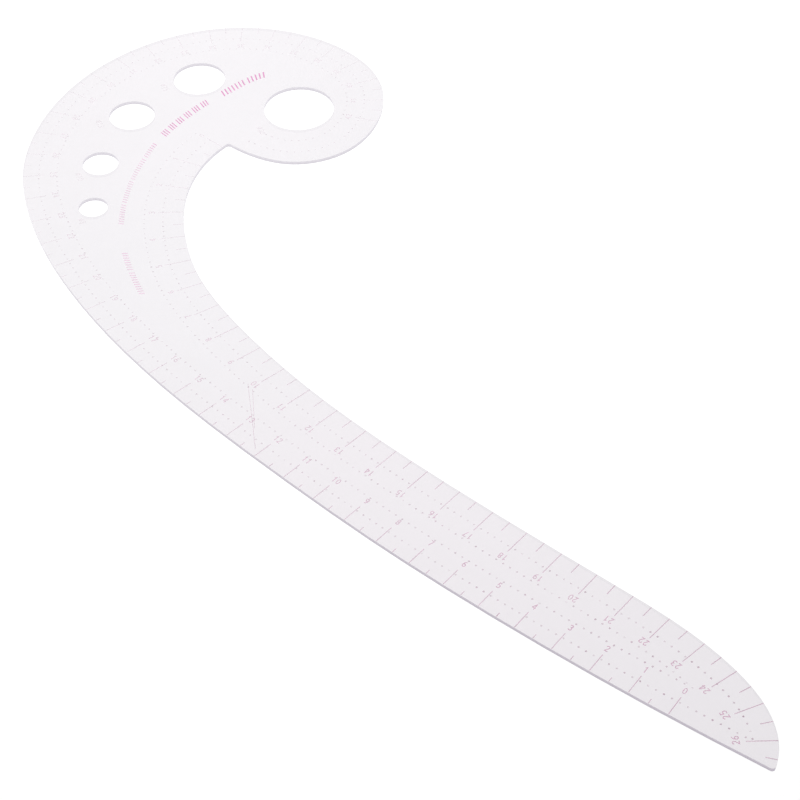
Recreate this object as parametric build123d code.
from build123d import *
import bisect
import math
import os

# French curve for dressmaking and pattern drafting: one flat, clear plastic
# sheet with a hooked head, a long arm, five round stencil holes, and a
# screen-printed face (two centimetre scales, seam-allowance dot rows, a
# double construction line, hole sizes and a hatched centre band).
# Units are millimetres. The sheet lies flat with its underside on Z = 0 and
# its printed face up. The origin is the axis of the largest (hanging) hole at
# the underside. +X runs along the arm towards its tip.

os.makedirs("parts", exist_ok=True)

# ----------------------------------------------------------------- the sheet
sheet_thickness = 1.0
notch_corner_radius = 1.0      # inside corner between the lobe and the arm
tip_corner_radius = 0.8        # outside corner at the arm's tip
corner_search_radius = 0.5     # how near a corner its upright edge is looked for
hole_cutter_height = 3 * sheet_thickness

# Stencil holes: centre x, centre y, diameter, then the centre x, y of the
# printed size beside the hole.
holes = [
    (0.00, 0.00, 20.0, 6.0, -13.3),
    (-23.85, -22.50, 15.0, -23.2, -33.1),
    (-14.29, -45.39, 13.0, -13.6, -55.0),
    (3.45, -59.40, 10.0, 7.2, -66.3),
    (20.99, -66.08, 8.0, 25.7, -70.45),
]

# The concave edge (x, y), from the inside corner of the notch to the arm's tip.
inner_edge_points = [
    (7.77, -23.57), (11.45, -29.52), (16.15, -34.66), (21.72, -38.92), (27.90, -42.23),
    (34.46, -44.55), (41.27, -46.12), (48.22, -47.14), (55.22, -47.50), (62.18, -47.07),
    (69.08, -46.01), (77.84, -44.03), (86.50, -41.58), (96.95, -38.16), (107.24, -34.31),
    (121.00, -28.38), (134.50, -21.85), (148.69, -14.45), (162.71, -6.78), (176.64, 1.06),
    (190.50, 9.04), (199.18, 14.02), (208.01, 18.68), (215.31, 21.91), (222.87, 24.50),
    (229.72, 26.02), (236.69, 26.37), (243.98, 24.82), (250.39, 20.45),
]

# The convex edge (x, y), from the arm's tip back along the arm, round the head
# and the lobe, to the inside corner of the notch.
outer_edge_points = [
    (250.39, 20.45), (236.48, 10.68), (221.56, 0.61), (207.28, -8.60), (191.97, -18.05),
    (177.32, -26.68), (161.59, -35.41), (146.50, -43.22), (130.34, -51.15), (116.78, -57.56),
    (103.09, -63.66), (90.10, -68.89), (76.89, -73.53), (65.40, -76.94), (53.73, -79.74),
    (43.89, -81.54), (33.97, -82.74), (25.00, -83.22), (16.01, -83.06), (7.05, -82.12),
    (-1.70, -80.12), (-10.03, -76.79), (-17.81, -72.28), (-24.95, -66.81), (-31.32, -60.47),
    (-36.77, -53.32), (-41.15, -45.48), (-44.32, -37.08), (-46.19, -28.28), (-46.66, -20.31),
    (-45.92, -12.37), (-43.89, -4.65), (-40.60, 2.64), (-36.14, 9.25), (-30.67, 15.06),
    (-24.35, 19.90), (-17.24, 23.50), (-9.47, 25.55), (-1.52, 25.64), (6.08, 23.50),
    (12.96, 19.41), (18.73, 13.78), (22.64, 6.87), (23.96, -1.94), (21.76, -10.55),
    (15.47, -18.34), (7.77, -23.57),
]


def spline_through(points):
    return Spline(*[Vector(x, y, 0) for x, y in points])


edges = {
    "inner": spline_through(inner_edge_points),
    "outer": spline_through(outer_edge_points),
}


def curve_sheet():
    """The clear sheet: outline, two rounded corners and the stencil holes."""
    outline = make_face(Wire([Edge(edge.wrapped) for edge in edges.values()]))
    sheet = extrude(outline, amount=sheet_thickness, dir=(0, 0, 1))
    for (corner_x, corner_y), radius in (
        (inner_edge_points[0], notch_corner_radius),
        (inner_edge_points[-1], tip_corner_radius),
    ):
        corner = [
            edge for edge in sheet.edges().filter_by(Axis.Z)
            if math.hypot(edge.center().X - corner_x, edge.center().Y - corner_y)
            < corner_search_radius
        ]
        sheet = fillet(corner, radius=radius)
    for x, y, diameter, *_ in holes:
        cutter = Cylinder(diameter / 2, hole_cutter_height)
        sheet = sheet - Pos(x, y, sheet_thickness / 2) * cutter
    return sheet.solids()[0]


# ----------------------------------------------------------- places on edges
# The artwork is printed a little off the cut outline.
print_shift_x = 0.55
print_shift_y = -0.75
sample_step = 0.5              # arc length between samples of an edge


def sample_edge(edge):
    """(x, y, normal x, normal y) at even arc lengths; the normals point into the sheet."""
    last = int(edge.length / sample_step)
    points = [
        edge.position_at(i * sample_step, position_mode=PositionMode.LENGTH)
        for i in range(last + 1)
    ]
    samples = []
    for i, point in enumerate(points):
        before = points[max(i - 1, 0)]
        after = points[min(i + 1, last)]
        along_x, along_y = after.X - before.X, after.Y - before.Y
        length = math.hypot(along_x, along_y)
        # the sheet lies to the right of travel on both edges
        samples.append((point.X, point.Y, along_y / length, -along_x / length))
    return samples


samples = {side: sample_edge(edge) for side, edge in edges.items()}


def place_on_edge(side, distance):
    """Point and inward unit normal at an arc length along an edge."""
    rows = samples[side]
    i = min(int(distance / sample_step), len(rows) - 2)
    share = distance / sample_step - i
    x, y, normal_x, normal_y = [
        a * (1 - share) + b * share for a, b in zip(rows[i], rows[i + 1])
    ]
    length = math.hypot(normal_x, normal_y)
    return x, y, normal_x / length, normal_y / length


def value_at(stations, distance):
    """Value of a (distance, value) table, straight between its entries."""
    if distance <= stations[0][0]:
        return stations[0][1]
    for (start, start_value), (end, end_value) in zip(stations, stations[1:]):
        if distance <= end:
            share = (distance - start) / (end - start)
            return start_value + (end_value - start_value) * share
    return stations[-1][1]


# ------------------------------------------------------------------ ink film
ink_thickness = 0.010
ink_gap = 0.002                # first film above the sheet
ink_layer_step = 0.014         # from one film to the next


def bar(start_x, start_y, end_x, end_y, width, z):
    """A straight printed stroke with square ends."""
    along_x, along_y = end_x - start_x, end_y - start_y
    scale = width / 2 / math.hypot(along_x, along_y)
    side_x, side_y = -along_y * scale, along_x * scale
    corners = [
        (start_x + side_x, start_y + side_y), (start_x - side_x, start_y - side_y),
        (end_x - side_x, end_y - side_y), (end_x + side_x, end_y + side_y),
    ]
    wire = Wire.make_polygon([Vector(x, y, z) for x, y in corners], close=True)
    return Solid.extrude(Face(wire), Vector(0, 0, ink_thickness))


# ---------------------------------------------------------------- the scales
scale_pitch = 10.0             # 1 cm, measured along each edge
long_tick = 6.45               # centimetre mark
short_tick = 2.35              # half-centimetre mark
tick_width = 0.22
edge_margin = 0.08             # bare strip between the ink and the cut edge

# start: arc length of the 0 mark. last: last numbered centimetre, and half_after
# adds one half mark past it. Past the mark "bend" the marks close up by
# "closing" a centimetre. numeral_offset: centre of the numerals from the edge.
# numeral_lag: how far the numerals sit before their mark.
scales = {
    "inner": dict(start=1.4, last=26, half_after=True, bend=23.5, closing=0.33,
                  numeral_offset=8.50, numeral_lag=0.30),
    "outer": dict(start=25.8, last=42, half_after=False, bend=0.0, closing=0.0,
                  numeral_offset=8.80, numeral_lag=0.15),
}

# The artwork and the cut outline are not quite the same curve, so the marks
# drift a little: (distance along the edge, lead of the marks there).
mark_leads = {
    "inner": [
        (0, 0.04), (22, 0.08), (42, 0.15), (52, 0.12), (62, -0.08), (72, -0.25),
        (82, -0.38), (96, -0.45), (106, -0.45), (116, -0.32), (131, -0.24), (151, -0.12),
        (171, -0.02), (186, 0.03), (226, 0.02), (241, -0.13), (251, -0.08), (262, 0.10),
    ],
    "outer": [
        (25, -0.28), (45, -0.22), (60, -0.20), (80, -0.10), (95, 0.0), (110, 0.12),
        (130, 0.20), (150, 0.25), (180, 0.27), (195, 0.15), (210, 0.08), (230, -0.03),
        (250, -0.15), (275, -0.18), (290, -0.03), (304, -0.05), (320, 0.20), (335, 0.30),
        (355, 0.33), (370, 0.20), (385, 0.0), (400, -0.08), (416, -0.15), (426, -0.05),
        (436, 0.20), (447, 0.20),
    ],
}

# (distance along the edge, lead of the numerals over their mark)
numeral_leads = {
    "inner": [
        (0, 0.40), (52, 0.35), (62, 0.05), (91, 0.0), (106, 0.15), (161, 0.20),
        (176, 0.35), (191, 0.35), (201, 0.10), (216, -0.10), (241, -0.15), (251, -0.45),
        (262, -0.20),
    ],
    "outer": [
        (25, 0.27), (45, 0.20), (60, -0.05), (75, -0.05), (120, 0.07), (165, -0.12),
        (215, 0.03), (265, 0.0), (300, 0.10), (335, -0.15), (360, 0.10), (375, 0.45),
        (390, 0.40), (410, 0.35), (447, 0.45),
    ],
}

# (distance along the edge, how much further from the edge the numerals stand)
numeral_insets = {
    "inner": [
        (0, -0.45), (95, -0.42), (105, -0.25), (121, -0.15), (136, 0.0), (151, 0.25),
        (161, 0.25), (171, 0.0), (185, -0.10), (201, -0.25), (216, -0.40), (240, -0.42),
        (251, 0.0), (262, 0.20),
    ],
    "outer": [
        (25, -0.42), (45, -0.38), (60, -0.25), (75, -0.15), (95, 0.0), (125, -0.05),
        (150, -0.15), (170, 0.0), (200, 0.12), (235, 0.25), (265, 0.25), (285, 0.15),
        (305, -0.05), (335, -0.18), (365, -0.25), (385, -0.55), (405, -0.72),
        (416, -0.75), (430, -0.60), (447, -0.50),
    ],
}


def mark_distance(side, centimetre):
    """Arc length of a mark of a scale."""
    scale = scales[side]
    closed_up = scale["closing"] * max(0.0, centimetre - scale["bend"])
    distance = scale["start"] + scale_pitch * centimetre - closed_up
    return distance + value_at(mark_leads[side], distance)


def scale_ticks(side, z):
    solids = []
    half_steps = 2 * scales[side]["last"] + scales[side]["half_after"]
    for i in range(half_steps + 1):
        x, y, normal_x, normal_y = place_on_edge(side, mark_distance(side, i / 2))
        # the mark starts just inside the cut edge, wherever the artwork's lies
        start = edge_margin - (print_shift_x * normal_x + print_shift_y * normal_y)
        end = long_tick if i % 2 == 0 else short_tick
        x += print_shift_x
        y += print_shift_y
        solids.append(bar(
            x + normal_x * start, y + normal_y * start,
            x + normal_x * end, y + normal_y * end,
            tick_width, z,
        ))
    return solids


# -------------------------------------------------------------- the numerals
numeral_height = 1.75
numeral_stroke = 0.24
digit_width = 0.55 * numeral_height
digit_advance = 0.70 * numeral_height
mitre_floor = 0.45             # least cosine used for a mitre, to blunt sharp corners


def oval(center_x, center_y, radius_x, radius_y, count=18):
    angles = [2 * math.pi * i / count for i in range(count)]
    return [(center_x + radius_x * math.cos(a), center_y + radius_y * math.sin(a)) for a in angles]


# Centre lines of the digits on a cell 0.55 wide and 1 high.
# ("loop", points) is closed, ("line", points) is open.
digit_strokes = {
    "0": [("loop", oval(0.275, 0.5, 0.205, 0.43))],
    "1": [("line", [(0.10, 0.72), (0.31, 0.93), (0.31, 0.0)])],
    "2": [("line", [(0.07, 0.72), (0.12, 0.86), (0.27, 0.93), (0.42, 0.86), (0.475, 0.71),
                    (0.42, 0.55), (0.09, 0.07), (0.52, 0.07)])],
    "3": [
        ("line", [(0.07, 0.82), (0.18, 0.92), (0.33, 0.92), (0.45, 0.82), (0.45, 0.65),
                  (0.34, 0.54), (0.20, 0.53)]),
        ("line", [(0.20, 0.53), (0.36, 0.52), (0.475, 0.40), (0.475, 0.22), (0.36, 0.09),
                  (0.20, 0.07), (0.06, 0.17)]),
    ],
    "4": [
        ("line", [(0.40, 0.0), (0.40, 1.0)]),
        ("line", [(0.385, 0.96), (0.065, 0.31)]),
        ("line", [(0.0, 0.29), (0.55, 0.29)]),
    ],
    "5": [("line", [(0.46, 0.93), (0.14, 0.93), (0.10, 0.54), (0.27, 0.60), (0.42, 0.53),
                    (0.485, 0.36), (0.44, 0.18), (0.30, 0.07), (0.16, 0.08), (0.06, 0.17)])],
    "6": [
        ("loop", oval(0.28, 0.31, 0.20, 0.24)),
        ("line", [(0.09, 0.22), (0.085, 0.47), (0.15, 0.68), (0.26, 0.83), (0.42, 0.94)]),
    ],
    "7": [("line", [(0.04, 0.93), (0.49, 0.93), (0.20, 0.0)])],
    "8": [
        ("loop", oval(0.275, 0.725, 0.165, 0.205)),
        ("loop", oval(0.275, 0.295, 0.205, 0.225)),
    ],
    "9": [
        ("loop", oval(0.27, 0.69, 0.20, 0.24)),
        ("line", [(0.46, 0.78), (0.465, 0.53), (0.40, 0.32), (0.29, 0.17), (0.13, 0.06)]),
    ],
    # diameter sign
    "o": [("loop", oval(0.275, 0.46, 0.205, 0.29)), ("line", [(0.02, 0.0), (0.53, 0.92)])],
}


def left_normal(start, end):
    along_x, along_y = end[0] - start[0], end[1] - start[1]
    length = math.hypot(along_x, along_y)
    return -along_y / length, along_x / length


def widen_line(points, half_width):
    """Outline of an open poly-line of the given half width, mitred."""
    normals = [left_normal(a, b) for a, b in zip(points, points[1:])]
    left, right = [], []
    for (x, y), before, after in zip(points, normals[:1] + normals, normals + normals[-1:]):
        mitre_x, mitre_y = before[0] + after[0], before[1] + after[1]
        length = math.hypot(mitre_x, mitre_y)
        mitre_x, mitre_y = mitre_x / length, mitre_y / length
        reach = half_width / max(mitre_x * before[0] + mitre_y * before[1], mitre_floor)
        left.append((x + mitre_x * reach, y + mitre_y * reach))
        right.append((x - mitre_x * reach, y - mitre_y * reach))
    # anticlockwise, so that every stroke's face looks up
    return right + left[::-1]


def grow_loop(points, amount):
    """A closed loop with each point moved away from the loop's middle."""
    middle_x = sum(x for x, y in points) / len(points)
    middle_y = sum(y for x, y in points) / len(points)
    grown = []
    for x, y in points:
        radius = math.hypot(x - middle_x, y - middle_y)
        ratio = (radius + amount) / radius
        grown.append((middle_x + (x - middle_x) * ratio, middle_y + (y - middle_y) * ratio))
    return grown


def polygon_face(points):
    return Face(Wire.make_polygon([Vector(x, y, 0) for x, y in points], close=True))


def digit_face(character):
    """One digit as a flat face, real size, its cell's lower left corner at 0."""
    half_width = numeral_stroke / 2
    total = None
    for kind, cell_points in digit_strokes[character]:
        points = [(x * numeral_height, y * numeral_height) for x, y in cell_points]
        if kind == "line":
            piece = Sketch() + polygon_face(widen_line(points, half_width))
        else:
            piece = Sketch() + (
                polygon_face(grow_loop(points, half_width))
                - polygon_face(grow_loop(points, -half_width))
            )
        total = piece if total is None else total + piece
    return total


digit_solids = {
    character: extrude(digit_face(character), amount=ink_thickness, dir=(0, 0, 1)).solids()
    for character in digit_strokes
}


def numeral(text, center_x, center_y, up_x, up_y, z):
    """Digits centred on a point. (up_x, up_y) points to the top of the digits."""
    angle = math.degrees(math.atan2(up_y, up_x)) - 90
    place = Location((center_x, center_y, z), (0, 0, angle))
    text_width = digit_advance * (len(text) - 1) + digit_width
    solids = []
    for i, character in enumerate(text):
        cell = Location((-text_width / 2 + digit_advance * i, -numeral_height / 2, 0))
        solids += [piece.moved(place * cell) for piece in digit_solids[character]]
    return solids


def scale_numerals(side, z):
    scale = scales[side]
    solids = []
    for centimetre in range(scale["last"] + 1):
        mark = mark_distance(side, centimetre)
        along = mark - scale["numeral_lag"] + value_at(numeral_leads[side], mark)
        offset = scale["numeral_offset"] + value_at(numeral_insets[side], mark)
        x, y, normal_x, normal_y = place_on_edge(side, along)
        center_x = x + normal_x * offset + print_shift_x
        center_y = y + normal_y * offset + print_shift_y
        solids += numeral(str(centimetre), center_x, center_y, normal_x, normal_y, z)
    return solids


def hole_sizes(z):
    """Each hole's diameter beside it, upright, after a diameter sign."""
    solids = []
    for _, _, diameter, label_x, label_y in holes:
        solids += numeral(f"o{int(diameter)}", label_x, label_y, 0.0, 1.0, z)
    return solids


# -------------------------------------------------------- seam-allowance dots
dot_diameter = 0.50
dot_pitch = 2.0
# A dot is left out if it comes nearer to an edge than its row by more than this.
other_edge_tolerance = 0.05
own_edge_tolerance = 0.1

# (side, row's distance from the edge): (distance along the row, lead of the dots)
dot_leads = {
    ("inner", 5): [
        (15, 1.65), (55, 1.05), (95, 0.39), (160, 0.47), (195, 0.55), (235, 0.40),
        (255, -0.07),
    ],
    ("inner", 10): [
        (15, 2.28), (55, 1.70), (95, 1.02), (115, 0.88), (155, 0.94), (195, 1.10),
        (235, 0.94), (255, 0.73),
    ],
    ("outer", 5): [
        (15, 0.84), (75, 0.75), (115, 0.77), (145, 0.91), (175, 0.83), (215, 0.36),
        (255, -0.05), (275, -0.29), (315, -0.78), (355, -1.24), (385, -1.38),
        (415, -0.84), (455, -0.85),
    ],
    ("outer", 10): [
        (35, 0.46), (95, 0.33), (155, 0.57), (195, 0.26), (235, -0.29), (275, -0.50),
        (315, -0.57), (355, -0.74), (395, -0.51), (415, -0.38),
    ],
}


def clearance(side, x, y):
    return min(math.hypot(x - sample[0], y - sample[1]) for sample in samples[side])


def seam_dots(side, row, z):
    """Dots at an even pitch along the line parallel to an edge."""
    other_side = "outer" if side == "inner" else "inner"
    path = [
        (x + normal_x * row, y + normal_y * row) for x, y, normal_x, normal_y in samples[side]
    ]
    run = [0.0]                # length of the path up to each of its points
    for a, b in zip(path, path[1:]):
        run.append(run[-1] + math.dist(a, b))
    solids = []
    for number in range(int(run[-1] / dot_pitch)):
        distance = dot_pitch * number
        distance += value_at(dot_leads[side, row], distance)
        i = bisect.bisect_right(run, distance) - 1
        share = (distance - run[i]) / (run[i + 1] - run[i])
        x, y = [a * (1 - share) + b * share for a, b in zip(path[i], path[i + 1])]
        if (clearance(other_side, x, y) > row - other_edge_tolerance
                and clearance(side, x, y) > row - own_edge_tolerance):
            plane = Plane(origin=(x + print_shift_x, y + print_shift_y, z))
            solids.append(Solid.make_cylinder(dot_diameter / 2, ink_thickness, plane))
    return solids


# --------------------------------------------------------- construction lines
# A close pair of lines, drawing together, runs from beside the 10 of the inner
# scale into the arm: start x, start y, end x, end y.
construction_line_ends = [(101.0, -47.60, 122.8, -52.70), (103.4, -47.15, 116.2, -50.80)]
construction_line_width = 0.12


def construction_lines(z):
    return [bar(*ends, construction_line_width, z) for ends in construction_line_ends]


# ---------------------------------------------------------------- centre band
# Short runs of slanted hatching follow the middle of the head and the arm.
band_guide = spline_through([
    (-18.6, -3.9), (-17.2, -11.0), (-14.2, -18.6), (-11.9, -24.2), (-8.2, -31.2),
    (-2.2, -39.6), (4.6, -46.2), (14.0, -53.2), (24.0, -58.4), (34.0, -61.8),
    (44.0, -63.3), (60.0, -63.2),
])
hatch_slant = 0.30             # along the band, as a share of the stroke's height

block_start = 20.9             # a row of equal short blocks
block_length = 2.1
block_pitch = 3.33
block_count = 6
block_starts = [block_start + block_pitch * i for i in range(block_count)]

# Stroke pitch, height and width, then the (start, end) of each run on the guide.
hatch_groups = [
    (1.25, 2.60, 0.42, [(0.4, 5.9), (7.3, 15.2)]),
    (0.86, 2.40, 0.34, [(start, start + block_length) for start in block_starts]),
    (0.95, 1.40, 0.34, [(44.2, 50.4), (51.6, 60.3), (61.4, 70.5), (71.6, 79.3)]),
    (0.95, 1.50, 0.34, [(91.2, 98.6), (99.8, 108.3)]),
]


def hatch_run(start, end, pitch, height, width, z):
    """Slanted strokes across the band, centred in the run."""
    solids = []
    count = int(round((end - start - width) / pitch)) + 1
    for i in range(count):
        distance = (start + end) / 2 + pitch * (i - (count - 1) / 2)
        point = band_guide.position_at(distance, position_mode=PositionMode.LENGTH)
        along = band_guide.tangent_at(distance, position_mode=PositionMode.LENGTH)
        reach_x = (-along.Y + along.X * hatch_slant) * height / 2
        reach_y = (along.X + along.Y * hatch_slant) * height / 2
        solids.append(bar(
            point.X - reach_x, point.Y - reach_y, point.X + reach_x, point.Y + reach_y,
            width, z,
        ))
    return solids


def centre_band(z):
    solids = []
    for pitch, height, width, runs in hatch_groups:
        for start, end in runs:
            solids += hatch_run(start, end, pitch, height, width, z)
    return solids


# --------------------------------------------------------------------- export
# Ink films from the lowest up: name, function, its arguments before z.
ink_films = [
    ("inner_scale_ticks", scale_ticks, "inner"),
    ("outer_scale_ticks", scale_ticks, "outer"),
    ("inner_scale_numerals", scale_numerals, "inner"),
    ("outer_scale_numerals", scale_numerals, "outer"),
    ("inner_seam_dots_5mm", seam_dots, "inner", 5),
    ("inner_seam_dots_10mm", seam_dots, "inner", 10),
    ("outer_seam_dots_5mm", seam_dots, "outer", 5),
    ("outer_seam_dots_10mm", seam_dots, "outer", 10),
    ("construction_lines", construction_lines),
    ("hole_size_numerals", hole_sizes),
    ("centre_band", centre_band),
]

export_step(curve_sheet(), "parts/curve_sheet.step")
for layer, (name, build, *arguments) in enumerate(ink_films):
    film_z = sheet_thickness + ink_gap + ink_layer_step * layer
    export_step(Compound(children=build(*arguments, film_z)), f"parts/{name}.step")
